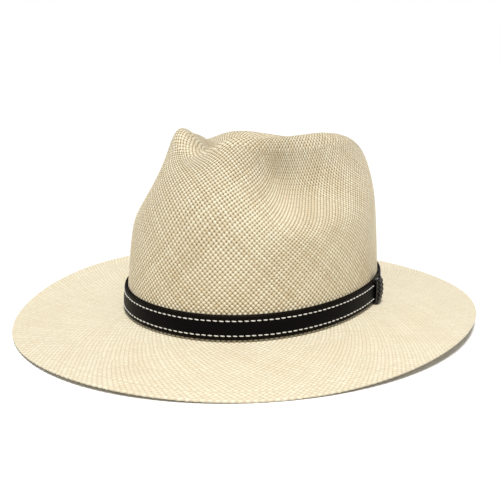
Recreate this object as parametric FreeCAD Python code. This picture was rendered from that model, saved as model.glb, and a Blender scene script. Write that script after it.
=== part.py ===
import FreeCAD, Part

import math
import os

# Panama hat: a teardrop-crowned straw hat with a stitched leather band, a braided keeper and a sewn-in
# sweatband.
#
# Frame: millimetres, +Z up, +Y towards the back of the hat, +X towards the wearer's left.
# The origin is under the middle of the brim, on the plane that the brim rests on.
# The straw body is one B-spline shell over control rings that run from the crown's centre, over its rim,
# down the wall and out along the brim. The band and the sweatband are rings that follow the wall.

# ---- driving dimensions -------------------------------------------------------------------------
WALL_X = 85.0  # half width of the crown at the band, outside the straw
WALL_Y = 103.5  # half length of the crown at the band, outside the straw
OVAL_POWER = 2.1  # 2 is an ellipse; a head oval is a little squarer
CROWN_SHIFT_Y = 6.5  # the crown sits this far behind the brim's middle
BAND_HEIGHT = 10.5  # height of the band's lower edge above the resting plane, amidships
CROWN_TILT = 0.03  # the band's plane rises this much per millimetre towards the back
WALL_TAPER = 0.0007  # share of the oval lost per millimetre of height, over the lower wall

BRIM_X = 159.5  # half width of the brim
BRIM_Y = 179.5  # half length of the brim
BRIM_POWER = 1.97
BRIM_MEAN = 2.5  # mean height of the brim's edge
BRIM_PITCH = 0.6  # the back edge is this much higher than the front one, halved
BRIM_SIDE_UP = 2.4  # the sides rise and the front and back dip by this
BRIM_THIRD = 1.6  # three-wave part of the edge's wave
BRIM_FOURTH = 0.9  # four-wave part of the edge's wave
BREAK_DROP = 2.0  # the brim leaves the crown this far below the band's lower edge

STRAW = 1.4  # thickness of the woven straw
RING_POLES = 64  # control points round each ring

BAND_WIDTH = 16.0
BACKING_THICK = 0.8
STRAP_THICK = 1.4
BAND_GAP = 0.35  # air between the straw and the band's backing
STITCH_INSET = 3.2  # from the band's edge to a row of stitches
STITCH_PITCH = 4.0
STITCH_SIZE = (2.9, 0.75, 0.5)  # along, across and proud of the strap

KEEPER_ANGLE = 15.5  # degrees from +X towards the back, where the band's ends meet under the keeper
KEEPER_WIDTH = 12.5  # along the band
KEEPER_THICK = 3.8  # of the braid, in front of the strap
KEEPER_BELOW = 0.8  # the braid's reach below and above the strap
KEEPER_ABOVE = 2.2

SWEAT_HEIGHT = 34.0
SWEAT_THICK = 1.0
SWEAT_GAP = 0.5  # air between the straw and the sweatband
SWEAT_DROP = 2.0  # its lower edge is this far below the band's
REED_SIZE = 2.4
SEWING_PITCH = 5.0
SEAM_TAPE_WIDTH = 10.0
LABEL_SIZE = (26.0, 13.0)
LABEL_ANGLE = -8.0  # degrees from +X towards the back: on the wearer's left
TRIM_THICK = 0.5
BOW_LOOP = 3.2  # outer radius of one loop of the bow
BOW_KNOT = (2.4, 3.0)  # wide and tall
BOW_HEIGHT = 6.0  # over the band's lower edge

# ---- crown: control rings from the band up to the middle of the top -----------------------------
# side, front, back: the ring's size as a share of the wall's oval, in those directions
# height, front_up, back_up: its height over the band's lower edge, and what the front and back add
# dent: how far the side dents pull the ring in
# nose_dip and hump: the front notch and the two humps beside it
# dent_dip: how far the ring sinks at the dents; right_dip: how far the right side sags behind its dent
CROWN_RINGS = [
    dict(side=0.980, front=0.980, back=0.980, height=28),
    dict(side=0.962, front=0.950, back=0.954, height=53),
    dict(side=0.946, front=0.918, back=0.930, height=71, front_up=9, back_up=11, dent=0.03, dent_dip=6),
    dict(side=0.912, front=0.866, back=0.922, height=83, front_up=15, back_up=13, dent=0.30, dent_dip=9),
    dict(side=0.838, front=0.815, back=0.918, height=95, front_up=13, back_up=8, dent=0.42, nose_dip=2,
         hump=2, dent_dip=9),
    dict(side=0.745, front=0.765, back=0.900, height=109, front_up=5, back_up=-6, dent=0.34, nose_dip=6,
         hump=6, dent_dip=3, right_dip=5),
    dict(side=0.640, front=0.675, back=0.800, height=125, front_up=-2, back_up=-21, dent=0.22, nose_dip=8,
         hump=7, right_dip=12),
    dict(side=0.420, front=0.500, back=0.600, height=115, back_up=-10, dent=0.16, nose_dip=6, hump=4,
         dent_dip=1, right_dip=6),
    dict(side=0.200, front=0.300, back=0.300, height=94),
    dict(side=0.000, front=0.000, back=0.000, height=94),
]
DENT_ANGLE = -32.0  # middle of a side dent, degrees from the side towards the back
DENT_FRONT = 27.0  # how far it spreads forwards and backwards
DENT_BACK = 42.0
RIGHT_DIP_ANGLE = 2.0  # the right rim sags here, a little behind the dent
RIGHT_DIP_SPREAD = 32.0
NOSE_SPREAD = 17.0
HUMP_ANGLE = -66.0
HUMP_SPREAD = 15.0
LEFT_HUMP_LOSS = 0.95  # share by which the left hump is softer than the right one

# ---- foot of the crown: how far out from the wall, and how high over the band's lower edge -------
FOOT_RINGS = [(0.0, 10.0), (0.0, 2.0), (0.6, -1.2), (4.0, -BREAK_DROP), (14.0, -BREAK_DROP - 0.8)]
# ---- brim: shares of the way from the foot to the edge -------------------------------------------
BRIM_SHARES = [0.42, 0.66, 0.88, 1.0]


def power(value, exponent):
    return math.copysign(abs(value) ** exponent, value)


def oval(half_x, half_y, exponent, angle):
    return (
        half_x * power(math.cos(angle), 2 / exponent),
        half_y * power(math.sin(angle), 2 / exponent),
    )


def bell(value, middle, spread):
    return math.exp(-(((value - middle) / spread) ** 2))


def from_side(angle):
    """Degrees from the nearer side towards the back: -90 at the nose, 90 at the back."""
    return math.degrees(math.atan2(math.sin(angle), abs(math.cos(angle))))


def crown_point(ring, angle):
    """A crown control ring's point."""
    turn = from_side(angle)
    dent = bell(turn, DENT_ANGLE, DENT_FRONT if turn < DENT_ANGLE else DENT_BACK)
    end = math.sin(angle) ** 2
    ahead = math.sin(angle) < 0
    scale = ring["side"] * (1 - end) + ring["front" if ahead else "back"] * end
    scale *= 1 - ring.get("dent", 0) * dent
    x, y = oval(WALL_X * scale, WALL_Y * scale, OVAL_POWER, angle)
    z = ring["height"] + ring.get("front_up" if ahead else "back_up", 0) * end
    z -= ring.get("nose_dip", 0) * bell(turn, -90, NOSE_SPREAD)
    leftness, rightness = max(0, math.cos(angle)), max(0, -math.cos(angle))
    z += ring.get("hump", 0) * bell(turn, HUMP_ANGLE, HUMP_SPREAD) * (1 - LEFT_HUMP_LOSS * leftness)
    z -= ring.get("dent_dip", 0) * dent
    z -= ring.get("right_dip", 0) * bell(turn, RIGHT_DIP_ANGLE, RIGHT_DIP_SPREAD) * rightness
    return in_frame(x, y, z)


def in_frame(x, y, height):
    """From the crown's own datum, the band's lower edge, to the hat's frame."""
    return FreeCAD.Vector(x, y + CROWN_SHIFT_Y, BAND_HEIGHT + height + CROWN_TILT * y)


def wall_point(angle, height, out):
    """A point on the lower wall at a height over the band's lower edge, moved outwards."""
    scale = 1 - WALL_TAPER * height
    x, y = oval(WALL_X * scale, WALL_Y * scale, OVAL_POWER, angle)
    step = 1e-3
    x1, y1 = oval(WALL_X * scale, WALL_Y * scale, OVAL_POWER, angle + step)
    x0, y0 = oval(WALL_X * scale, WALL_Y * scale, OVAL_POWER, angle - step)
    along = math.hypot(x1 - x0, y1 - y0)
    return in_frame(x + out * (y1 - y0) / along, y - out * (x1 - x0) / along, height)


def edge_point(angle):
    """A point on the brim's edge."""
    x, y = oval(BRIM_X, BRIM_Y, BRIM_POWER, angle)
    z = BRIM_MEAN + BRIM_PITCH * math.sin(angle) + BRIM_SIDE_UP * math.cos(2 * angle)
    z += BRIM_THIRD * math.sin(3 * angle) + BRIM_FOURTH * math.cos(4 * angle)
    return FreeCAD.Vector(x, y, z + STRAW)


def body_rings():
    """The straw's control rings, from the middle of the crown's top out to the brim's edge."""
    angles = [2 * math.pi * (i + 0.5) / RING_POLES for i in range(RING_POLES)]
    rings = [[crown_point(ring, a) for a in angles] for ring in reversed(CROWN_RINGS)]
    rings += [[wall_point(a, height, out) for a in angles] for out, height in FOOT_RINGS]
    foot = rings[-1]
    edge = [edge_point(a) for a in angles]
    for share in BRIM_SHARES:
        rings.append([f + (e - f) * share for f, e in zip(foot, edge)])
    return rings


def spline_surface(rings):
    """A cubic surface, closed round each ring and clamped at the first and last ring."""
    poles = [[ring[i] for ring in rings] for i in range(len(rings[0]))]
    around = list(range(len(poles) + 1))
    spans = len(rings) - 3
    ends_clamped = [4] + [1] * (spans - 1) + [4]
    surface = Part.BSplineSurface()
    surface.buildFromPolesMultsKnots(
        poles, [1] * len(around), ends_clamped, around, list(range(spans + 1)), True, False, 3, 3
    )
    return surface


def offset_rings(rings, surface, depth):
    """The rings moved along the surface's normal, for the shell's other side."""
    spans = len(rings) - 3
    knots = [0] * 4 + list(range(1, spans)) + [spans] * 4
    moved = []
    for j, ring in enumerate(rings):
        v = sum(knots[j + 1 : j + 4]) / 3
        if j == 0:
            moved.append([p - FreeCAD.Vector(0, 0, depth) for p in ring])
            continue
        row = []
        for i, p in enumerate(ring):
            u = (i - 1) % len(ring)
            du, dv = surface.getDN(u, v, 1, 0), surface.getDN(u, v, 0, 1)
            normal = du.cross(dv)
            normal.normalize()
            row.append(p + normal * depth)
        moved.append(row)
    return moved


def straw_body():
    outer = body_rings()
    top = spline_surface(outer)
    inner = offset_rings(outer, top, STRAW)
    under = spline_surface(inner)
    top_face, under_face = top.toShape(), under.toShape()
    top_edge = max(top_face.Edges, key=lambda e: e.BoundBox.DiagonalLength if e.isClosed() else 0)
    under_edge = max(under_face.Edges, key=lambda e: e.BoundBox.DiagonalLength if e.isClosed() else 0)
    rim = Part.makeRuledSurface(top_edge, under_edge)
    shell = Part.makeShell([top_face, under_face, *rim.Faces])
    shell.sewShape()
    solid = Part.makeSolid(shell)
    if solid.Volume < 0:
        solid.reverse()
    return solid


def wall_wire(height, out):
    """A closed curve round the wall."""
    points = [wall_point(2 * math.pi * i / RING_POLES, height, out) for i in range(RING_POLES)]
    curve = Part.BSplineCurve()
    curve.interpolate(points, PeriodicFlag=True)
    return Part.Wire([curve.toShape()])


def wall_ring(low, high, near, far):
    """A band between two heights and two distances out from the wall."""
    outside = Part.makeLoft([wall_wire(low, far), wall_wire(high, far)], True, True)
    inside = Part.makeLoft([wall_wire(low - 1, near), wall_wire(high + 1, near)], True, True)
    return outside.cut(inside)


def place_on_wall(shape, angle, height, out):
    """Moves a shape drawn with +X along the wall, +Y outwards and +Z up to a place on the wall."""
    at = wall_point(angle, height, out)
    ahead = wall_point(angle - 1e-3, height, out) - at
    turn = math.degrees(math.atan2(ahead.y, ahead.x))
    placed = shape.copy()
    placed.Placement = FreeCAD.Placement(at, FreeCAD.Rotation(FreeCAD.Vector(0, 0, 1), turn))
    return placed


def even_angles(pitch, height, out):
    """Angles round the wall, one pitch apart along it, starting at the keeper."""
    steps = 2880
    start = math.radians(KEEPER_ANGLE)
    points = [wall_point(start + 2 * math.pi * i / steps, height, out) for i in range(steps + 1)]
    total = sum((b - a).Length for a, b in zip(points, points[1:]))
    count = round(total / pitch)
    angles, run = [], 0.0
    for i in range(steps):
        if run >= len(angles) * total / count and len(angles) < count:
            angles.append(start + 2 * math.pi * i / steps)
        run += (points[i + 1] - points[i]).Length
    return angles


def stitch_row(height, out, pitch, skip):
    """Stitches along one row, each its own solid, leaving out those within skip millimetres of the keeper."""
    long, across, proud = STITCH_SIZE
    middle = wall_point(math.radians(KEEPER_ANGLE), height, out)
    stitch = Part.makeBox(long, proud, across, FreeCAD.Vector(-long / 2, 0, -across / 2))
    row = []
    for angle in even_angles(pitch, height, out):
        if (wall_point(angle, height, out) - middle).Length >= skip:
            row.append(place_on_wall(stitch, angle, height, out))
    return Part.makeCompound(row)


def keeper():
    """The keeper's loop round the strap, as a rounded sleeve; the strap's slot is cut from it later."""
    near = BAND_GAP + BACKING_THICK - 0.4
    depth = STRAP_THICK + 0.4 + KEEPER_THICK
    tall = BAND_WIDTH + KEEPER_BELOW + KEEPER_ABOVE
    sleeve = Part.makeBox(KEEPER_WIDTH, depth, tall, FreeCAD.Vector(-KEEPER_WIDTH / 2, near, -KEEPER_BELOW))
    outer_edges = [e for e in sleeve.Edges if e.BoundBox.YMin > near + depth - 0.01]
    sleeve = sleeve.makeFillet(KEEPER_THICK * 0.7, outer_edges)
    return place_on_wall(sleeve, math.radians(KEEPER_ANGLE), 0, 0)


def patch_on_ring(ring, angle, width, low, high):
    """The part of a ring in front of one place on the wall."""
    reach = 12.0
    block = Part.makeBox(width, 2 * reach, high - low, FreeCAD.Vector(-width / 2, -reach, 0))
    return ring.common(place_on_wall(block, angle, low, 0))


def bow():
    """A small ribbon bow: two loops and a knot, drawn flat against the sweatband."""
    wide, tall = BOW_KNOT
    thick = TRIM_THICK * 2
    middle, forwards = FreeCAD.Vector(0, 0, 0), FreeCAD.Vector(0, 1, 0)
    loop = Part.makeCylinder(BOW_LOOP, thick, middle, forwards)
    loop = loop.cut(Part.makeCylinder(BOW_LOOP / 2, thick, middle, forwards))
    left, right = loop.copy(), loop.copy()
    apart = BOW_LOOP + wide / 6
    left.translate(FreeCAD.Vector(-apart, 0, 0))
    right.translate(FreeCAD.Vector(apart, 0, 0))
    knot = Part.makeBox(wide, thick, tall, FreeCAD.Vector(-wide / 2, 0, -tall / 2))
    return left.fuse([right, knot]).removeSplitter()


def build():
    backing_out = BAND_GAP + BACKING_THICK
    strap_out = backing_out + STRAP_THICK
    sweat_out = -STRAW - SWEAT_GAP
    sweat_in = sweat_out - SWEAT_THICK
    sweat_top = SWEAT_HEIGHT - SWEAT_DROP
    lining = wall_ring(-SWEAT_DROP, sweat_top, sweat_in - TRIM_THICK, sweat_in)
    slot = wall_ring(-KEEPER_BELOW - 1, BAND_WIDTH, -1, strap_out)
    label_low = (SWEAT_HEIGHT - LABEL_SIZE[1]) / 2
    back, left = math.pi / 2, math.radians(LABEL_ANGLE)
    skip = KEEPER_WIDTH / 2 + 1.5
    return {
        "straw_body": straw_body(),
        "hatband_strap": wall_ring(0, BAND_WIDTH, backing_out, strap_out),
        "hatband_backing": wall_ring(0, BAND_WIDTH, BAND_GAP, backing_out),
        "upper_stitching": stitch_row(BAND_WIDTH - STITCH_INSET, strap_out, STITCH_PITCH, skip),
        "lower_stitching": stitch_row(STITCH_INSET, strap_out, STITCH_PITCH, skip),
        "braided_keeper": keeper().cut(slot),
        "sweatband": wall_ring(-SWEAT_DROP, sweat_top, sweat_in, sweat_out),
        "sweatband_reed": wall_ring(-SWEAT_DROP - REED_SIZE, -SWEAT_DROP, sweat_out - REED_SIZE, sweat_out),
        "sweatband_stitching": stitch_row(0, sweat_in - STITCH_SIZE[2], SEWING_PITCH, 0),
        "sweatband_seam_tape": patch_on_ring(lining, back, SEAM_TAPE_WIDTH, 3, sweat_top),
        "sweatband_bow": place_on_wall(bow(), back, BOW_HEIGHT, sweat_in - TRIM_THICK * 3.4),
        "size_label": patch_on_ring(lining, left, LABEL_SIZE[0], label_low, label_low + LABEL_SIZE[1]),
    }


def main():
    os.makedirs("parts", exist_ok=True)
    for name, shape in build().items():
        box = shape.BoundBox
        print(
            name, "valid", shape.isValid(), "solids", len(shape.Solids), "volume", round(shape.Volume),
            "z", round(box.ZMin, 2), round(box.ZMax, 2), "y", round(box.YMin, 1), round(box.YMax, 1),
        )
        shape.exportStep(f"parts/{name}.step")


main()
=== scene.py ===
"""Looks for the panama hat: woven straw, stitched leather band, braided keeper and sewn-in sweatband.

The hat's shape is the same formula as in the CAD source, in metres, sampled finely enough to carry the weave.
"""

import math

import bpy
import numpy as np
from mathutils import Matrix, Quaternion, Vector


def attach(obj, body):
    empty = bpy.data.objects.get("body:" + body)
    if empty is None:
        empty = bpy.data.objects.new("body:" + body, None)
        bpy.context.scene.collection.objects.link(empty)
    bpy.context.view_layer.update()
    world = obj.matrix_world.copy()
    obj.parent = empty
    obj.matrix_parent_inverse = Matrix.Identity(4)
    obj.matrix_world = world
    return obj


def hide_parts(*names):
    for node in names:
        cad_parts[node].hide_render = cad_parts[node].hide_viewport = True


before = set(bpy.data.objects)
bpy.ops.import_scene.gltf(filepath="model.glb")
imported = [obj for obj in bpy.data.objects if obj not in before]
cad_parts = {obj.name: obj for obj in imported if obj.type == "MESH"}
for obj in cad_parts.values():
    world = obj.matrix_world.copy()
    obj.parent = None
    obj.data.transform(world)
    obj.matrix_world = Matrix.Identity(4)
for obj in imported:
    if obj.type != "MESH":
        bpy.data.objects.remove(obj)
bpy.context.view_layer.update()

MM = 0.001

# ---- the hat's own dimensions, in millimetres: the same as in the CAD source ---------------------
WALL_X = 85.0
WALL_Y = 103.5
OVAL_POWER = 2.1
CROWN_SHIFT_Y = 6.5
BAND_HEIGHT = 10.5
CROWN_TILT = 0.03
WALL_TAPER = 0.0007
BRIM_X = 159.5
BRIM_Y = 179.5
BRIM_POWER = 1.97
BRIM_MEAN = 2.5
BRIM_PITCH = 0.6
BRIM_SIDE_UP = 2.4
BRIM_THIRD = 1.6
BRIM_FOURTH = 0.9
BREAK_DROP = 2.0
STRAW = 1.4
BAND_WIDTH = 16.0
BACKING_THICK = 0.8
STRAP_THICK = 1.4
BAND_GAP = 0.35
STITCH_INSET = 3.2
STITCH_PITCH = 4.0
STITCH_SIZE = (2.9, 0.75, 0.5)
KEEPER_ANGLE = math.radians(15.5)
KEEPER_WIDTH = 12.5
KEEPER_BELOW = 0.8
SWEAT_HEIGHT = 34.0
SWEAT_THICK = 1.0
SWEAT_GAP = 0.5
SWEAT_DROP = 2.0
REED_SIZE = 2.4
SEWING_PITCH = 5.0
SEAM_TAPE_WIDTH = 10.0
LABEL_SIZE = (26.0, 13.0)
LABEL_ANGLE = math.radians(-8)
TRIM_THICK = 0.5

CROWN_RINGS = [
    dict(side=0.980, front=0.980, back=0.980, height=28),
    dict(side=0.962, front=0.950, back=0.954, height=53),
    dict(side=0.946, front=0.918, back=0.930, height=71, front_up=9, back_up=11, dent=0.03, dent_dip=6),
    dict(side=0.912, front=0.866, back=0.922, height=83, front_up=15, back_up=13, dent=0.30, dent_dip=9),
    dict(side=0.838, front=0.815, back=0.918, height=95, front_up=13, back_up=8, dent=0.42, nose_dip=2,
         hump=2, dent_dip=9),
    dict(side=0.745, front=0.765, back=0.900, height=109, front_up=5, back_up=-6, dent=0.34, nose_dip=6,
         hump=6, dent_dip=3, right_dip=5),
    dict(side=0.640, front=0.675, back=0.800, height=125, front_up=-2, back_up=-21, dent=0.22, nose_dip=8,
         hump=7, right_dip=12),
    dict(side=0.420, front=0.500, back=0.600, height=115, back_up=-10, dent=0.16, nose_dip=6, hump=4,
         dent_dip=1, right_dip=6),
    dict(side=0.200, front=0.300, back=0.300, height=94),
    dict(side=0.000, front=0.000, back=0.000, height=94),
]
DENT_ANGLE = -32.0
DENT_FRONT = 27.0
DENT_BACK = 42.0
RIGHT_DIP_ANGLE = 2.0
RIGHT_DIP_SPREAD = 32.0
NOSE_SPREAD = 17.0
HUMP_ANGLE = -66.0
HUMP_SPREAD = 15.0
LEFT_HUMP_LOSS = 0.95
FOOT_RINGS = [(0.0, 10.0), (0.0, 2.0), (0.6, -1.2), (4.0, -BREAK_DROP), (14.0, -BREAK_DROP - 0.8)]
BRIM_SHARES = [0.42, 0.66, 0.88, 1.0]

# ---- the weave -----------------------------------------------------------------------------------
CELLS_ROUND = 176  # diagonal weave cells round the wall; a cell is two strands wide, corner to corner
STEPS_PER_CELL = 4  # mesh steps in a cell, so that crossings and holes fall on vertices
COLUMNS = CELLS_ROUND * STEPS_PER_CELL
CELL_LEAST = 2.7  # where the cells get narrower than this, the weave starts again with fewer strands
CELL_MOST = 3.9
RELIEF = 0.22  # how far crossings stand out and holes sink
EDGE_BEAD = 0.9  # radius of the back-woven edge
EDGE_LINE = 10.0  # the woven-back ends stop this far in from the edge
FINE_REACH = 116.0  # from the foot of the crown up over its rim, where rows are a quarter of a cell apart
RIM_ROW = 0.845  # the row that crosses the end of that reach is counted as this high in the weave
TOP_STRIDES = (0.6, 2.2)  # least and most between rows on the crown's top
BRIM_STRIDES = (0.9, 1.9)  # between rows near the brim's foot and edge, and between them

# ---- studio --------------------------------------------------------------------------------------
VIEW_AZIMUTH = math.radians(34.0)
VIEW_ELEVATION = math.radians(13.99)
VIEW_ROLL = math.radians(0.75)
VIEW_DISTANCE = 0.5998
VIEW_TARGET = (0, 0, 0.0406)
VIEW_LENS = 58.73
VIEW_SHIFT = (-0.0034, 0.0074)
SURROUND_LIGHT = 0.37
SOFTBOX_LIGHT = 3.0
SOFTBOX_ELEVATION = math.radians(73.0)
SOFTBOX_SPREAD = math.radians(16.0)


# ==== shape ======================================================================================
def power(value, exponent):
    return np.sign(value) * np.abs(value) ** exponent


def oval(half_x, half_y, exponent, angle):
    return (
        half_x * power(np.cos(angle), 2 / exponent),
        half_y * power(np.sin(angle), 2 / exponent),
    )


def bell(value, middle, spread):
    return np.exp(-(((value - middle) / spread) ** 2))


def in_frame(x, y, height):
    return np.stack([x, y + CROWN_SHIFT_Y, BAND_HEIGHT + height + CROWN_TILT * y], axis=-1)


def crown_ring(ring, angle):
    """One of the crown's control rings, at every angle."""
    turn = np.degrees(np.arctan2(np.sin(angle), np.abs(np.cos(angle))))
    dent = bell(turn, DENT_ANGLE, np.where(turn < DENT_ANGLE, DENT_FRONT, DENT_BACK))
    end = np.sin(angle) ** 2
    ahead = np.sin(angle) < 0
    scale = ring["side"] * (1 - end) + np.where(ahead, ring["front"], ring["back"]) * end
    scale = scale * (1 - ring.get("dent", 0) * dent)
    x, y = oval(WALL_X * scale, WALL_Y * scale, OVAL_POWER, angle)
    height = ring["height"] + np.where(ahead, ring.get("front_up", 0), ring.get("back_up", 0)) * end
    height = height - ring.get("nose_dip", 0) * bell(turn, -90, NOSE_SPREAD)
    hump = ring.get("hump", 0) * bell(turn, HUMP_ANGLE, HUMP_SPREAD)
    height = height + hump * (1 - LEFT_HUMP_LOSS * np.maximum(0, np.cos(angle)))
    height = height - ring.get("dent_dip", 0) * dent
    sag = bell(turn, RIGHT_DIP_ANGLE, RIGHT_DIP_SPREAD) * np.maximum(0, -np.cos(angle))
    height = height - ring.get("right_dip", 0) * sag
    return in_frame(x, y, height)


def wall(angle, height, out):
    """Points on the lower wall, in millimetres, at a height over the band's lower edge and moved outwards."""
    angle, height, out = np.broadcast_arrays(np.asarray(angle, float), height, out)
    scale = 1 - WALL_TAPER * height
    x, y = oval(WALL_X * scale, WALL_Y * scale, OVAL_POWER, angle)
    step = 1e-3
    x1, y1 = oval(WALL_X * scale, WALL_Y * scale, OVAL_POWER, angle + step)
    x0, y0 = oval(WALL_X * scale, WALL_Y * scale, OVAL_POWER, angle - step)
    along = np.hypot(x1 - x0, y1 - y0)
    return in_frame(x + out * (y1 - y0) / along, y - out * (x1 - x0) / along, height)


def brim_edge(angle):
    x, y = oval(BRIM_X, BRIM_Y, BRIM_POWER, angle)
    z = BRIM_MEAN + BRIM_PITCH * np.sin(angle) + BRIM_SIDE_UP * np.cos(2 * angle)
    z = z + BRIM_THIRD * np.sin(3 * angle) + BRIM_FOURTH * np.cos(4 * angle) + STRAW
    return np.stack([x, y, z], axis=-1)


def body_rings(angle):
    rings = [crown_ring(ring, angle) for ring in reversed(CROWN_RINGS)]
    rings += [wall(angle, height, out) for out, height in FOOT_RINGS]
    foot, edge = rings[-1], brim_edge(angle)
    rings += [foot + (edge - foot) * share for share in BRIM_SHARES]
    return np.array(rings)


def basis(count, v):
    """Cubic B-spline weights of each of count rings at each v, which runs from 0 to count - 3."""
    knots = np.concatenate([[0] * 3, np.arange(count - 2), [count - 3] * 3])
    v = np.clip(v, 0, count - 3 - 1e-9)
    weights = [(knots[i] <= v) & (v < knots[i + 1]) for i in range(len(knots) - 1)]
    weights = [w.astype(float) for w in weights]
    for degree in (1, 2, 3):
        raised = []
        for i in range(len(weights) - 1):
            total = np.zeros_like(v)
            if knots[i + degree] > knots[i]:
                total += (v - knots[i]) / (knots[i + degree] - knots[i]) * weights[i]
            if knots[i + degree + 1] > knots[i + 1]:
                total += (knots[i + degree + 1] - v) / (knots[i + degree + 1] - knots[i + 1]) * weights[i + 1]
            raised.append(total)
        weights = raised
    return np.array(weights).T


def even_angles(count):
    """Angles that step evenly along the wall's oval, from the keeper round."""
    fine = KEEPER_ANGLE + np.linspace(0, 2 * np.pi, 4001)
    steps = np.linalg.norm(np.diff(wall(fine, 0, 0), axis=0), axis=1)
    run = np.concatenate([[0], np.cumsum(steps)])
    return np.interp(np.arange(count) / count * run[-1], run, fine)


def surface(rings, v):
    return np.tensordot(basis(len(rings), v), rings, axes=(1, 0))


def outward(points):
    """Unit normals of a grid of points, rows by columns, closed round each row."""
    round_ = np.roll(points, -1, axis=1) - np.roll(points, 1, axis=1)
    down = np.gradient(points, axis=0)
    normal = np.cross(down, round_)
    length = np.linalg.norm(normal, axis=2, keepdims=True)
    return normal / np.maximum(length, 1e-12)


def smooth_step(low, high, value):
    share = np.clip((value - low) / (high - low), 0, 1)
    return share * share * (3 - 2 * share)


# ==== meshes ======================================================================================
def new_object(name, points, faces, material=None, smooth=True):
    """A mesh object from points in millimetres."""
    mesh = bpy.data.meshes.new(name)
    mesh.from_pydata((np.asarray(points).reshape(-1, 3) * MM).tolist(), [], faces)
    mesh.update()
    if smooth:
        mesh.shade_smooth()
    made = bpy.data.objects.new(name, mesh)
    bpy.context.scene.collection.objects.link(made)
    if material:
        mesh.materials.append(material)
    return made


def grid_faces(rows, columns, close_rows=False, close_columns=True):
    """Quads over a grid of rows by columns."""
    last_row = rows if close_rows else rows - 1
    last_column = columns if close_columns else columns - 1
    j, i = np.meshgrid(np.arange(last_row), np.arange(last_column), indexing="ij")
    j1, i1 = (j + 1) % rows, (i + 1) % columns
    quads = np.stack([j * columns + i, j1 * columns + i, j1 * columns + i1, j * columns + i1], axis=-1)
    return quads.reshape(-1, 4)


def set_uv(made, name, corners):
    """Stores a UV layer from one pair of numbers per face corner."""
    layer = made.data.uv_layers.new(name=name)
    layer.data.foreach_set("uv", np.ascontiguousarray(corners, dtype=np.float32).ravel())


def set_value(made, name, values):
    """Stores one number per vertex for a material to read."""
    layer = made.data.attributes.new(name, "FLOAT", "POINT")
    layer.data.foreach_set("value", np.ascontiguousarray(values, dtype=np.float32).ravel())


def hold(made, slot, *nodes):
    """Rides a piece on the hat and hides the CAD nodes that it stands for."""
    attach(made, "root")
    if nodes:
        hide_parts(*nodes)
    return made


# ==== materials ===================================================================================
class Paint:
    """A procedural material, built one node at a time."""

    def __init__(self, name, roughness, **sockets):
        self.material = bpy.data.materials.new(name)
        self.material.use_nodes = True
        self.nodes = self.material.node_tree.nodes
        self.shader = self.nodes["Principled BSDF"]
        self.shader.inputs["Roughness"].default_value = roughness
        for socket, value in sockets.items():
            self.shader.inputs[socket.replace("_", " ")].default_value = value

    def link(self, value, socket):
        if isinstance(value, bpy.types.NodeSocket):
            self.material.node_tree.links.new(value, socket)
        else:
            socket.default_value = value

    def math(self, operation, first, second=0.0, clamp=False):
        node = self.nodes.new("ShaderNodeMath")
        node.operation = operation
        node.use_clamp = clamp
        self.link(first, node.inputs[0])
        self.link(second, node.inputs[1])
        return node.outputs[0]

    def mix(self, share, first, second):
        """Mixes two numbers."""
        node = self.nodes.new("ShaderNodeMix")
        self.link(share, node.inputs[0])
        self.link(first, node.inputs[2])
        self.link(second, node.inputs[3])
        return node.outputs[0]

    def blend(self, share, first, second, how="MIX"):
        """Mixes two colours."""
        node = self.nodes.new("ShaderNodeMix")
        node.data_type = "RGBA"
        node.blend_type = how
        self.link(share, node.inputs[0])
        self.link(first, node.inputs[6])
        self.link(second, node.inputs[7])
        return node.outputs[2]

    def ramp(self, value, low, high):
        """0 below low and 1 above high."""
        node = self.nodes.new("ShaderNodeMapRange")
        node.interpolation_type = "SMOOTHSTEP"
        self.link(value, node.inputs["Value"])
        node.inputs["From Min"].default_value = low
        node.inputs["From Max"].default_value = high
        return node.outputs["Result"]

    def value(self, name):
        node = self.nodes.new("ShaderNodeAttribute")
        node.attribute_name = name
        return node.outputs["Fac"]

    def uv(self, name):
        node = self.nodes.new("ShaderNodeUVMap")
        node.uv_map = name
        split = self.nodes.new("ShaderNodeSeparateXYZ")
        self.link(node.outputs[0], split.inputs[0])
        return split.outputs[0], split.outputs[1]

    def place(self):
        """The point's place in the hat's frame."""
        return self.nodes.new("ShaderNodeTexCoord").outputs["Object"]

    def vector(self, x, y, z=0.0):
        node = self.nodes.new("ShaderNodeCombineXYZ")
        for value, socket in zip((x, y, z), node.inputs):
            self.link(value, socket)
        return node.outputs[0]

    def noise(self, where, scale, detail=2.0):
        node = self.nodes.new("ShaderNodeTexNoise")
        self.link(where, node.inputs["Vector"])
        node.inputs["Scale"].default_value = scale
        node.inputs["Detail"].default_value = detail
        return node.outputs["Fac"]

    def cells(self, where, scale):
        node = self.nodes.new("ShaderNodeTexVoronoi")
        node.feature = "SMOOTH_F1"
        self.link(where, node.inputs["Vector"])
        node.inputs["Scale"].default_value = scale
        return node.outputs["Distance"]

    def chance(self, first, second):
        """A random number from 0 to 1 for each pair of whole numbers."""
        node = self.nodes.new("ShaderNodeTexWhiteNoise")
        node.noise_dimensions = "2D"
        self.link(self.vector(first, second), node.inputs["Vector"])
        return node.outputs["Value"]

    def hill(self, place, middle):
        """1 in the middle of a strand and 0 at its sides, half a strand away."""
        off = self.math("SUBTRACT", place, middle)
        return self.math("COSINE", self.math("MULTIPLY", off, math.pi))

    def bump(self, height, depth_mm, strength=1.0):
        node = self.nodes.new("ShaderNodeBump")
        node.inputs["Distance"].default_value = depth_mm * MM
        node.inputs["Strength"].default_value = strength
        self.link(height, node.inputs["Height"])
        self.link(node.outputs[0], self.shader.inputs["Normal"])

    def colour(self, colour):
        self.link(colour, self.shader.inputs["Base Color"])
        return self.material


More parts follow.
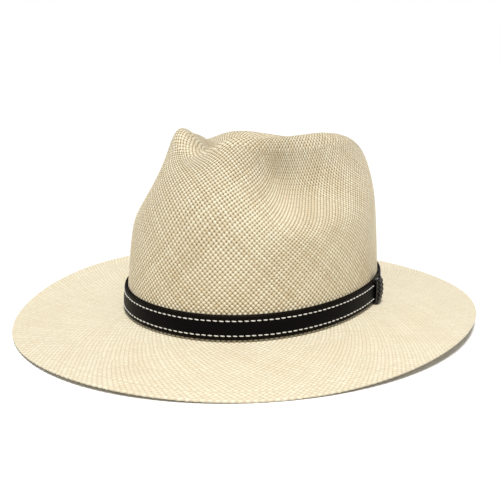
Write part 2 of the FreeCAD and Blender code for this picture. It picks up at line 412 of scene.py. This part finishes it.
def rgb(red, green, blue):
    """A shader colour from the red, green and blue of a colour picker, 0 to 255."""
    linear = [c / 255 / 12.92 if c <= 10 else ((c / 255 + 0.055) / 1.055) ** 2.4 for c in (red, green, blue)]
    return (*linear, 1.0)


CROWN_STRAW = rgb(252, 243, 213)
BRIM_STRAW = rgb(244, 235, 208)
# the straw's own tan tone, also used as painted shade in the gaps between strands
STRAW_TAN_AND_GAP_SHADE = rgb(196, 164, 108)
# painted shade seen in the weave's holes
HOLE_SHADE = rgb(78, 54, 24)


def straw_paint():
    """Plain weave on the diagonal: strands one way pass over and under the strands of the other way."""
    paint = Paint("woven_straw", 0.42, Specular_IOR_Level=0.5, Sheen_Weight=0.06)
    u, v = paint.uv("weave")
    first, second = paint.math("ADD", u, v), paint.math("SUBTRACT", u, v)
    first_id, second_id = paint.math("ROUND", first), paint.math("ROUND", second)
    first_hill = paint.hill(first, first_id)
    second_hill = paint.hill(second, second_id)
    on_top = paint.math("FLOORED_MODULO", paint.math("ADD", first_id, second_id), 2.0)

    across = paint.mix(on_top, first_hill, second_hill)
    along = paint.mix(on_top, second_hill, first_hill)
    arch = paint.math("MULTIPLY_ADD", along, 0.5)
    arch.node.inputs[2].default_value = 0.5
    height = paint.math("MULTIPLY", paint.math("POWER", across, 0.5), arch)

    fibre_a = paint.vector(paint.math("MULTIPLY", first, 9.0), paint.math("MULTIPLY", second, 0.7))
    fibre_b = paint.vector(paint.math("MULTIPLY", second, 9.0), paint.math("MULTIPLY", first, 0.7), 50.0)
    fibres = paint.mix(on_top, paint.noise(fibre_a, 1.0), paint.noise(fibre_b, 1.0))

    brim = paint.value("brim")
    nearest_hill = paint.math("MAXIMUM", first_hill, second_hill)
    # painted shade in the weave's holes, at random strength, much weaker on the brim
    open_hole = paint.math("SUBTRACT", 1.0, paint.ramp(nearest_hill, 0.26, 0.8))
    depth = paint.math("ADD", 0.45, paint.math("MULTIPLY", paint.chance(first_id, second_id), 0.55))
    hole_shade = paint.math("MULTIPLY", open_hole, depth)
    hole_shade = paint.math("MULTIPLY", hole_shade, paint.mix(brim, 1.0, 0.14))
    # painted shade where strands dip under their neighbours, weaker on the brim
    gap = paint.math("SUBTRACT", 1.0, paint.ramp(height, 0.15, 0.75))
    gap_shade = paint.math("MULTIPLY", gap, paint.mix(brim, 0.7, 0.26))

    strand_a = paint.chance(first_id, 3.0)
    strand_b = paint.chance(7.0, second_id)
    strand = paint.mix(on_top, strand_a, strand_b)
    patches = paint.noise(paint.place(), 26.0, 3.0)
    tan_share = paint.math("ADD", paint.math("MULTIPLY", strand, 0.34), paint.math("MULTIPLY", fibres, 0.2))
    tan_share = paint.math("ADD", tan_share, paint.math("MULTIPLY", paint.ramp(patches, 0.45, 0.75), 0.12))
    tan_share = paint.math("MULTIPLY", tan_share, paint.mix(brim, 1.0, 0.5))

    colour = paint.blend(brim, CROWN_STRAW, BRIM_STRAW)
    colour = paint.blend(tan_share, colour, STRAW_TAN_AND_GAP_SHADE)
    # painted shade in the gaps between strands
    colour = paint.blend(gap_shade, colour, STRAW_TAN_AND_GAP_SHADE)
    # the holes get their painted shade
    colour = paint.blend(hole_shade, colour, HOLE_SHADE)
    relief = paint.math("ADD", height, paint.math("MULTIPLY", fibres, 0.12))
    paint.bump(paint.math("MULTIPLY", relief, paint.mix(brim, 1.0, 0.5)), 0.8, 1.0)
    return paint.colour(colour)


def leather_paint(name, middle, edge, roughness, gloss):
    """Smooth leather with a fine grain; the value "edge" picks out the turned edges."""
    paint = Paint(name, roughness, Specular_IOR_Level=gloss)
    grain = paint.cells(paint.place(), 1500.0)
    blotch = paint.noise(paint.place(), 70.0, 3.0)
    colour = paint.blend(paint.value("edge"), middle, edge)
    colour = paint.blend(paint.math("MULTIPLY", blotch, 0.25), colour, edge)
    paint.bump(paint.math("ADD", grain, paint.math("MULTIPLY", blotch, 0.6)), 0.12, 0.6)
    return paint.colour(colour)


def thread_paint(name, light, dark, twist=2600.0):
    """Twisted thread."""
    paint = Paint(name, 0.6, Sheen_Weight=0.15)
    strands = paint.noise(paint.place(), twist, 2.0)
    paint.bump(strands, 0.12, 0.5)
    return paint.colour(paint.blend(paint.math("MULTIPLY", strands, 0.5), light, dark))


def cloth_paint(name, light, dark, threads_per_mm=2.2, roughness=0.85):
    """A plain cloth weave along the UV map "cloth", which is in millimetres."""
    paint = Paint(name, roughness, Sheen_Weight=0.2)
    u, v = paint.uv("cloth")
    turns = threads_per_mm * math.pi
    warp = paint.math("SINE", paint.math("MULTIPLY", u, turns))
    weft = paint.math("SINE", paint.math("MULTIPLY", v, turns))
    weave = paint.math("MULTIPLY", warp, weft)
    mottle = paint.noise(paint.place(), 180.0, 3.0)
    share = paint.math("ADD", paint.math("MULTIPLY", weave, 0.2), mottle, clamp=True)
    paint.bump(weave, 0.12, 0.7)
    return paint.colour(paint.blend(share, dark, light))


def floor_paint():
    """Pale matt paper."""
    return Paint("studio_floor", 0.9, Specular_IOR_Level=0.1).colour(rgb(243, 243, 243))


# ==== the straw body ==============================================================================
def meridian(rings):
    """The distance down the straw and the distance round it, at fine steps of v."""
    fine = np.linspace(0, len(rings) - 3, 2401)
    sample = surface(rings[:, :: COLUMNS // 44], fine)
    run = np.concatenate([[0], np.cumsum(np.linalg.norm(np.diff(sample, axis=0), axis=2).mean(axis=1))])
    around = np.linalg.norm(np.roll(sample, -1, axis=1) - sample, axis=2).sum(axis=1)
    return fine, run, around


def crown_rows(foot, width_at):
    """Rows from the foot of the crown up to its middle, top row first: distance, cells down, cells round."""
    at, cells, cells_round = foot, 0.0, CELLS_ROUND
    rim = foot - FINE_REACH
    rows = []
    while at > TOP_STRIDES[0]:
        width = width_at(at, cells_round)
        if width < CELL_LEAST and at < rim:
            cells_round = max(6, round(cells_round * 3 / 4))
            width = width_at(at, cells_round)
        rows.append((at, cells, cells_round))
        if at > rim:
            stride = width / STEPS_PER_CELL
            counted = stride if at - stride > rim else RIM_ROW
        else:
            stride = min(TOP_STRIDES[1], max(TOP_STRIDES[0], at * 0.06))
            counted = stride
        at -= stride
        cells -= counted / width
    return [(0.0, cells - 0.3, cells_round)] + rows[::-1]


def brim_rows(foot, end, width_at):
    """Rows from the foot of the crown out to the brim's edge: distance, cells down, cells round."""
    at, cells, cells_round = foot, 0.0, CELLS_ROUND
    rows = []
    while True:
        near_foot_or_edge = at < foot + 6 or at > end - EDGE_LINE - 3
        stride = BRIM_STRIDES[0] if near_foot_or_edge else BRIM_STRIDES[1]
        width = width_at(at, cells_round)
        if width > CELL_MOST:
            cells_round = round(cells_round * 5 / 4)
            width = width_at(at, cells_round)
        at += stride
        cells += stride / width
        if at > end - 0.2:
            return rows + [(end, cells, cells_round)]
        rows.append((at, cells, cells_round))


def weave_rows():
    """The straw's control rings and its mesh rows, with the weave's cells counted down and round them.

    Distances are from the foot of the crown, below zero on the crown; the last value is the brim's reach.
    """
    rings = body_rings(even_angles(COLUMNS))
    fine, run, around = meridian(rings)
    foot = np.interp(len(CROWN_RINGS), fine, run)
    end = run[-1]

    def width_at(at, cells_round):
        return np.interp(at, run, around) / cells_round

    rows = crown_rows(foot, width_at) + brim_rows(foot, end, width_at)
    places, counts, zones = (np.array(column, float) for column in zip(*rows))
    return rings, np.interp(places, run, fine), places - foot, counts, zones, end - foot


def straw_body(paint):
    """The woven straw: crossings in relief on the crown, shallow rings and the edge's line on the brim."""
    rings, v, run, cells, zones, reach = weave_rows()
    top = surface(rings, v)
    normal = outward(top)
    normal[0] = (0, 0, 1)
    column = np.arange(COLUMNS)

    fine = smooth_step(-112, -100, run) * (1 - smooth_step(-4, 2, run))
    phase = 2 * np.pi * np.outer(np.ones(len(v)), column) / STEPS_PER_CELL
    relief = np.cos(phase) * np.cos(2 * np.pi * cells)[:, None] * fine[:, None] * RELIEF
    line = -0.28 * bell(run, reach - EDGE_LINE, 0.8) + 0.16 * bell(run, reach - EDGE_LINE + 2.2, 1.6)
    rings_wave = 0.05 * np.sin(run * 2 * np.pi / 6.8) * smooth_step(6, 14, run)
    outer = top + normal * (relief + (line + rings_wave)[:, None])[..., None]

    under_rows = np.concatenate([[0], np.arange(4, len(v) - 1, 5), [len(v) - 1]])
    under = (top - normal * STRAW)[under_rows]
    under[0] = top[0] - (0, 0, STRAW)

    last = top[-1] - normal[-1] * STRAW / 2
    out = np.cross(np.roll(last, -1, axis=0) - np.roll(last, 1, axis=0), (0, 0, 1))
    out /= np.linalg.norm(out, axis=1, keepdims=True)
    knots = 1 + 0.16 * np.cos(column * 2 * np.pi / 3)[:, None]
    bead = []
    for turn in np.radians([62, 35, 8, -20, -48, -72]):
        bead.append(last + knots * EDGE_BEAD * (math.cos(turn) * out + math.sin(turn) * normal[-1]))
    bead = np.array(bead)

    points = np.concatenate([outer, bead, under[::-1]])
    faces = grid_faces(len(points), COLUMNS)
    made = new_object("straw_body", points, faces.tolist(), paint)

    row_cells = np.concatenate([cells, np.full(len(bead), cells[-1]), cells[under_rows][::-1]])
    row_zones = np.concatenate([zones, np.full(len(bead), zones[-1]), zones[under_rows][::-1]])
    j, i = np.meshgrid(np.arange(len(points) - 1), column, indexing="ij")
    zone = np.minimum(row_zones[:-1], row_zones[1:])[j]
    corners = np.zeros((len(points) - 1, COLUMNS, 4, 2))
    for corner, (down, along) in enumerate(((0, 0), (1, 0), (1, 1), (0, 1))):
        corners[..., corner, 0] = (i + along) / COLUMNS * zone
        corners[..., corner, 1] = row_cells[j + down]
    set_uv(made, "weave", corners)
    brim = smooth_step(1.0, 8.0, run)
    row_brim = np.concatenate([brim, np.ones(len(bead)), brim[under_rows][::-1]])
    set_value(made, "brim", np.repeat(row_brim, COLUMNS))
    return hold(made, "straw", "straw_body")


# ==== the band ====================================================================================
def swept(name, profile, paint, columns=720, edge=None, angles=None):
    """A profile of (out, height) points swept round the wall, closed on itself."""
    closed = angles is None
    angles = even_angles(columns) if closed else angles
    grid = np.array([wall(angles, height, out) for out, height in profile])
    faces = grid_faces(len(profile), len(angles), close_rows=True, close_columns=closed).tolist()
    if not closed:
        faces.append([j * len(angles) for j in range(len(profile))])
        faces.append([j * len(angles) + len(angles) - 1 for j in reversed(range(len(profile)))])
    made = new_object(name, grid, faces, paint)
    lengths = np.concatenate([[0], np.cumsum(np.linalg.norm(np.diff(wall(angles, 0, 0), axis=0), axis=1))])
    heights = np.array([height for _, height in profile])
    if edge is not None:
        set_value(made, "edge", np.repeat([edge(out, height) for out, height in profile], len(angles)))
    uv = np.stack([np.tile(lengths, len(profile)), np.repeat(heights, len(angles))], axis=-1)
    loops = np.empty(len(made.data.loops), dtype=np.int32)
    made.data.loops.foreach_get("vertex_index", loops)
    set_uv(made, "cloth", uv[loops])
    return made


def rounded_profile(near, far, low, high, radius, dome=0.0, grooves=(), steps=24):
    """A strap's cross-section: flat behind, rounded at its edges, domed and grooved in front."""
    corner = np.radians(np.linspace(0, 90, 5))
    points = [(near, low)]
    points += [(far - radius + radius * math.sin(a), low + radius - radius * math.cos(a)) for a in corner]
    for height in np.linspace(low + radius, high - radius, steps)[1:-1]:
        share = (height - low) / (high - low)
        out = far + dome * math.sin(math.pi * share)
        out -= sum(0.22 * math.exp(-(((height - g) / 0.55) ** 2)) for g in grooves)
        points.append((out, height))
    points += [(far - radius + radius * math.cos(a), high - radius + radius * math.sin(a)) for a in corner]
    points.append((near, high))
    return points


def hatband(paint, backing_paint):
    """The strap, with a groove under each row of stitches, and the leather behind it."""
    backing_out = BAND_GAP + BACKING_THICK
    strap_out = backing_out + STRAP_THICK
    grooves = (STITCH_INSET, BAND_WIDTH - STITCH_INSET)
    profile = rounded_profile(backing_out, strap_out, 0.25, BAND_WIDTH - 0.25, 0.6, 0.35, grooves, 60)
    middle, half = BAND_WIDTH / 2, BAND_WIDTH / 2 - STITCH_INSET

    def turned_edge(out, height):
        return float(smooth_step(half - 0.4, half + 0.9, abs(height - middle)))

    strap = swept("hatband_strap", profile, paint, edge=turned_edge)
    hold(strap, "black_leather", "hatband_strap")
    behind = rounded_profile(BAND_GAP, backing_out, 0, BAND_WIDTH, 0.35)
    backing = swept("hatband_backing", behind, backing_paint, edge=lambda out, height: 1.0)
    hold(backing, "backing_leather", "hatband_backing")


def bead_shape(length, across, proud, rings=7, sides=8):
    """A stitch lying along +X: round-ended, low, with its ends pressed in."""
    points, shares = [], np.linspace(0, 1, rings)
    for share in shares:
        size = math.sin(math.pi * (0.08 + 0.84 * share)) ** 0.55
        for k in range(sides):
            turn = 2 * math.pi * k / sides
            points.append((
                (share - 0.5) * length,
                proud * (size - 0.35 + 0.65 * size * math.sin(turn)) * 0.9,
                across / 2 * size * math.cos(turn),
            ))
    faces = grid_faces(rings, sides).tolist()
    faces.append(list(range(sides)))
    faces.append([(rings - 1) * sides + k for k in reversed(range(sides))])
    return np.array(points), faces


def stitch_row(name, height, out, pitch, size, paint, skip, node, slot, slant=0.0, inward=1):
    """A row of stitches round the wall, leaving out those within skip millimetres of the keeper."""
    whole = np.linalg.norm(np.diff(wall(np.linspace(0, 2 * np.pi, 2001), height, out), axis=0), axis=1).sum()
    angles = even_angles(round(whole / pitch))
    centres = wall(angles, height, out)
    ahead = wall(angles - 1e-3, height, out) - centres
    ahead /= np.linalg.norm(ahead, axis=1, keepdims=True)
    outwards = np.cross((0, 0, 1.0), ahead)
    outwards /= np.linalg.norm(outwards, axis=1, keepdims=True)
    outwards *= inward * np.sign((outwards[0] * (centres[0] - (0, CROWN_SHIFT_Y, 0))).sum())
    upwards = np.cross(ahead, outwards)
    middle = wall(KEEPER_ANGLE, height, out)
    keep = np.linalg.norm(centres - middle, axis=1) >= skip
    template, faces = bead_shape(*size)
    upright, tilt = math.cos(slant), math.sin(slant)
    lean = np.array([[upright, 0, tilt], [0, 1, 0], [-tilt, 0, upright]])
    template = template @ lean
    random = np.random.default_rng(7)
    points, all_faces = [], []
    for centre, x, y, z in zip(centres[keep], ahead[keep], outwards[keep], upwards[keep]):
        shift = random.normal(0, (0.05, 0.0, 0.04))
        local = template * random.uniform(0.94, 1.05) + shift
        all_faces += [[k + len(points) * len(template) for k in face] for face in faces]
        points.append(centre + local[:, :1] * x + local[:, 1:2] * y + local[:, 2:] * z)
    made = new_object(name, np.concatenate(points), all_faces, paint)
    return hold(made, slot, node)


# ==== the keeper ==================================================================================
def tube(points, radius, sides=12, closed=True):
    """Points and faces of a round tube along a path of points; its radius may change along them."""
    points = np.asarray(points)
    radii = np.broadcast_to(radius, len(points))
    if closed:
        ahead = np.roll(points, -1, axis=0) - np.roll(points, 1, axis=0)
    else:
        ahead = np.gradient(points, axis=0)
    ahead /= np.linalg.norm(ahead, axis=1, keepdims=True)
    side = np.cross(ahead[0], (0.3, 0.5, 0.8))
    rings = []
    for place, direction, size in zip(points, ahead, radii):
        side = side - direction * side.dot(direction)
        side /= np.linalg.norm(side)
        other = np.cross(direction, side)
        turns = np.linspace(0, 2 * np.pi, sides, endpoint=False)[:, None]
        rings.append(place + size * (np.cos(turns) * side + np.sin(turns) * other))
    faces = grid_faces(len(points), sides, close_rows=closed).tolist()
    if not closed:
        faces.append(list(range(sides))[::-1])
        faces.append([(len(points) - 1) * sides + k for k in range(sides)])
    return np.concatenate(rings), faces


def loop_path(count, near, far, low, high, corner):
    """A rounded rectangle in the (out, height) plane, by even arc length, and its outward directions."""
    dense = []
    for centre_x, centre_y, start in (
        (far - corner, low + corner, -90), (far - corner, high - corner, 0),
        (near + corner, high - corner, 90), (near + corner, low + corner, 180),
    ):
        for turn in np.radians(np.linspace(start, start + 90, 12)):
            dense.append((centre_x + corner * math.cos(turn), centre_y + corner * math.sin(turn)))
    dense = np.array(dense + dense[:1])
    run = np.concatenate([[0], np.cumsum(np.linalg.norm(np.diff(dense, axis=0), axis=1))])
    at = np.arange(count) / count * run[-1]
    path = np.stack([np.interp(at, run, dense[:, k]) for k in (0, 1)], axis=-1)
    ahead = np.roll(path, -1, axis=0) - np.roll(path, 1, axis=0)
    ahead /= np.linalg.norm(ahead, axis=1, keepdims=True)
    return path, np.stack([ahead[:, 1], -ahead[:, 0]], axis=-1)


def braided_keeper(paint):
    """Three doubled laces braided round the strap, a lace turn at each side and one cut end standing up."""
    lace, crossings, swing, edge_turn = 0.95, 4, 3.2, 5.3
    near = lace + 0.05
    strap_out = BAND_GAP + BACKING_THICK + STRAP_THICK
    far = strap_out + lace
    path, outward_2d = loop_path(240, near, far, -KEEPER_BELOW + 0.1, BAND_WIDTH + lace, 1.2)
    share = np.arange(len(path)) / len(path)
    rise_share = (path[:, 1] - path[:, 1].min()) / np.ptp(path[:, 1])
    front = (path[:, 0] - near) / (far - near)  # 0 behind the strap, 1 in front of it
    bulge = front * np.sin(np.pi * rise_share)
    centre = wall(KEEPER_ANGLE, 0, 0)
    ahead = wall(KEEPER_ANGLE - 1e-3, 0, 0) - centre
    ahead /= np.linalg.norm(ahead)
    out = np.cross(ahead, (0, 0, 1.0))
    out *= np.sign(out.dot(centre - (0, CROWN_SHIFT_Y, 0)))
    points, faces = [], []

    def add(along, flat, radius, closed=True):
        route = centre + along[:, None] * ahead + flat[:, :1] * out + flat[:, 1:] * np.array((0, 0, 1.0))
        ring_points, ring_faces = tube(route, radius, closed=closed)
        offset = sum(len(p) for p in points)
        points.append(ring_points)
        faces.extend([[k + offset for k in face] for face in ring_faces])

    for strand in range(3):
        phase = 2 * np.pi * (share * crossings + strand / 3)
        rise = front * (0.2 + 0.8 * np.sin(2 * phase)) + 1.3 * bulge
        for twin in (-lace, lace):
            add(swing * np.sin(phase) + twin, path + outward_2d * rise[:, None], lace)
    for side in (-edge_turn, edge_turn):
        add(np.full(len(path), side), path + outward_2d * (0.3 * bulge)[:, None], lace * 0.85)
    end = np.linspace(0, 1, 14)
    end_flat = np.stack([strap_out + 1.9 - 1.6 * end**2, BAND_WIDTH - 3.0 + 10.5 * end], axis=-1)
    add(0.8 - 1.4 * end, end_flat, lace * (1 - 0.65 * end**2), closed=False)
    made = new_object("braided_keeper", np.concatenate(points), faces, paint)
    set_value(made, "edge", np.full(len(made.data.vertices), 0.3))
    return hold(made, "black_lace", "braided_keeper")


# ==== inside ======================================================================================
def sweatband_parts(cloth, reed_cloth, tape, label):
    """The sweatband, its reed, its seam tape and the blank label; gives how far in the sweatband reaches."""
    sweat_out = -STRAW - SWEAT_GAP
    sweat_in = sweat_out - SWEAT_THICK
    sweat_top = SWEAT_HEIGHT - SWEAT_DROP
    grooves = (1.5, sweat_top - 3.0)
    profile = rounded_profile(-sweat_out, -sweat_in, -SWEAT_DROP, sweat_top, 0.45, 0.25, grooves, 40)
    profile = [(-out, height) for out, height in profile][::-1]
    hold(swept("sweatband", profile, cloth), "sweat_cloth", "sweatband")

    turns = np.linspace(0, 2 * np.pi, 16, endpoint=False)
    half = REED_SIZE / 2
    reed = [(sweat_out - half + half * math.cos(t), -SWEAT_DROP - half + half * math.sin(t)) for t in turns]
    hold(swept("sweatband_reed", reed, reed_cloth), "reed_cover", "sweatband_reed")

    def patch(name, middle, width, low, high, paint, slot):
        reach = width / 2 / np.linalg.norm(wall(middle + 0.01, 0, 0) - wall(middle, 0, 0)) * 0.01
        angles = np.linspace(middle - reach, middle + reach, 40)
        shape = rounded_profile(-sweat_in, -sweat_in + TRIM_THICK, low, high, 0.2)
        shape = [(-out, height) for out, height in shape][::-1]
        hold(swept(name, shape, paint, angles=angles), slot, name)

    label_low = (SWEAT_HEIGHT - LABEL_SIZE[1]) / 2
    patch("sweatband_seam_tape", np.pi / 2, SEAM_TAPE_WIDTH, 3, sweat_top, tape, "seam_tape")
    label_top = label_low + LABEL_SIZE[1]
    patch("size_label", LABEL_ANGLE, LABEL_SIZE[0], label_low, label_top, label, "label_cloth")
    return sweat_in


def bow(paint, sweat_in):
    """A flat ribbon tied in a small bow over the sweatband's seam."""
    centre = wall(np.pi / 2, 6, sweat_in - TRIM_THICK * 2.4)
    points, faces = [], []

    def ribbon(route, wide):
        route = np.array(route)
        ahead = np.gradient(route, axis=0)
        ahead /= np.linalg.norm(ahead, axis=1, keepdims=True)
        across = np.cross(ahead, (0, 1.0, 0))
        across /= np.linalg.norm(across, axis=1, keepdims=True)
        offset = sum(len(p) for p in points)
        for depth in (-0.12, 0.12):
            for edge in (-wide / 2, wide / 2):
                points.append(centre + route + across * edge + (0, depth, 0))
        count = len(route)
        order = (0, 1, 3, 2)
        for k in range(4):
            a, b = order[k] * count + offset, order[(k + 1) % 4] * count + offset
            faces.extend([a + i, a + i + 1, b + i + 1, b + i] for i in range(count - 1))
        for i in (0, count - 1):
            faces.append([offset + order[k] * count + i for k in range(4)])

    for side in (-1, 1):
        turn = np.linspace(0, 2 * np.pi, 24)
        loop = [(side * (3.0 - 3.0 * math.cos(t)), -0.35 * math.sin(t), 1.7 * math.sin(t)) for t in turn]
        ribbon(loop, 1.1)
        tail = np.linspace(0, 1, 8)
        ribbon([(side * 3.4 * t, 0.0, -4.6 * t) for t in tail], 1.2)
    ribbon([(0, -0.45, z) for z in np.linspace(-1.1, 1.1, 6)], 1.8)
    made = new_object("sweatband_bow", np.concatenate(points), faces, paint)
    loops = np.empty(len(made.data.loops), dtype=np.int32)
    made.data.loops.foreach_get("vertex_index", loops)
    flat = np.array([vertex.co for vertex in made.data.vertices]) / MM
    set_uv(made, "cloth", flat[loops][:, (0, 2)])
    return hold(made, "bow_ribbon", "sweatband_bow")


# ==== studio ======================================================================================
def studio():
    """A wide pale floor, a soft white surround and one large soft light above the camera."""
    turns = np.linspace(0, 2 * np.pi, 96, endpoint=False)
    grid = np.array([[(r * math.cos(t), r * math.sin(t), -0.3) for t in turns] for r in (0.0, 6000.0)])
    new_object("studio_floor", grid, grid_faces(2, len(turns)).tolist(), floor_paint())

    world = bpy.data.worlds.new("studio")
    world.use_nodes = True
    nodes, links = world.node_tree.nodes, world.node_tree.links
    strength = nodes.new("ShaderNodeMapRange")  # white where it is seen, softer where it lights
    strength.inputs["To Min"].default_value = SURROUND_LIGHT
    links.new(nodes.new("ShaderNodeLightPath").outputs["Is Camera Ray"], strength.inputs["Value"])
    links.new(strength.outputs["Result"], nodes["Background"].inputs["Strength"])
    nodes["Background"].inputs["Color"].default_value = (1, 1, 1, 1)
    bpy.context.scene.world = world
    bpy.context.scene.view_settings.view_transform = "Standard"

    light = bpy.data.lights.new("softbox", "SUN")
    light.energy = SOFTBOX_LIGHT
    light.angle = SOFTBOX_SPREAD
    lamp = bpy.data.objects.new("softbox", light)
    lamp.rotation_mode = "QUATERNION"
    lamp.rotation_quaternion = direction(VIEW_AZIMUTH, SOFTBOX_ELEVATION).to_track_quat("Z", "Y")
    bpy.context.scene.collection.objects.link(lamp)


def direction(azimuth, elevation):
    """From the hat towards a place round it; azimuth 0 is in front of the hat and 90 on its left side."""
    flat = math.cos(elevation)
    return Vector((math.sin(azimuth) * flat, -math.cos(azimuth) * flat, math.sin(elevation)))


def camera():
    """The photograph's view: from the hat's front left, a little above it."""
    back = direction(VIEW_AZIMUTH, VIEW_ELEVATION)
    made = bpy.data.objects.new("camera", bpy.data.cameras.new("camera"))
    made.location = Vector(VIEW_TARGET) + back * VIEW_DISTANCE
    made.rotation_mode = "QUATERNION"
    made.rotation_quaternion = Quaternion(back, VIEW_ROLL) @ (-back).to_track_quat("-Z", "Y")
    made.data.sensor_width = 36.0
    made.data.lens = VIEW_LENS
    made.data.shift_x, made.data.shift_y = VIEW_SHIFT
    made.data.clip_start = 0.01
    bpy.context.scene.collection.objects.link(made)
    bpy.context.scene.camera = made


def main():
    straw_body(straw_paint())
    hatband(
        leather_paint("black_leather", rgb(5, 4, 6), rgb(13, 8, 5), 0.5, 0.07),
        leather_paint("backing_leather", rgb(15, 9, 6), rgb(12, 8, 6), 0.7, 0.07),
    )
    strap_out = BAND_GAP + BACKING_THICK + STRAP_THICK
    thread = thread_paint("white_thread", rgb(236, 234, 226), rgb(196, 190, 176))
    size = (STITCH_SIZE[0], STITCH_SIZE[1] * 1.15, STITCH_SIZE[2])
    skip = KEEPER_WIDTH / 2 + 1.0
    for name, height in (("upper_stitching", BAND_WIDTH - STITCH_INSET), ("lower_stitching", STITCH_INSET)):
        stitch_row(
            name, height, strap_out + 0.05, STITCH_PITCH, size, thread, skip, name, "white_thread", 0.06
        )
    braided_keeper(leather_paint("black_lace", rgb(8, 6, 6), rgb(18, 12, 9), 0.28, 0.55))

    black_cloth = cloth_paint("sweat_cloth", rgb(58, 54, 50), rgb(34, 31, 29))
    reed_cloth = cloth_paint("reed_cover", rgb(52, 48, 45), rgb(30, 28, 26), 3.0)
    tape = cloth_paint("seam_tape", rgb(46, 46, 50), rgb(28, 28, 31), 3.4, 0.45)
    label = cloth_paint("label_cloth", rgb(236, 234, 226), rgb(208, 204, 192), 3.4, 0.7)
    sweat_in = sweatband_parts(black_cloth, reed_cloth, tape, label)
    bow(tape, sweat_in)
    sewing = thread_paint("sewing_thread", rgb(222, 208, 176), rgb(176, 158, 120))
    size = (2.5, 0.6, 0.45)
    stitch_row(
        "sweatband_stitching", 0, sweat_in - 0.1, SEWING_PITCH, size, sewing, 0, "sweatband_stitching",
        "sewing_thread", 0.3, -1,
    )
    studio()
    camera()


main()
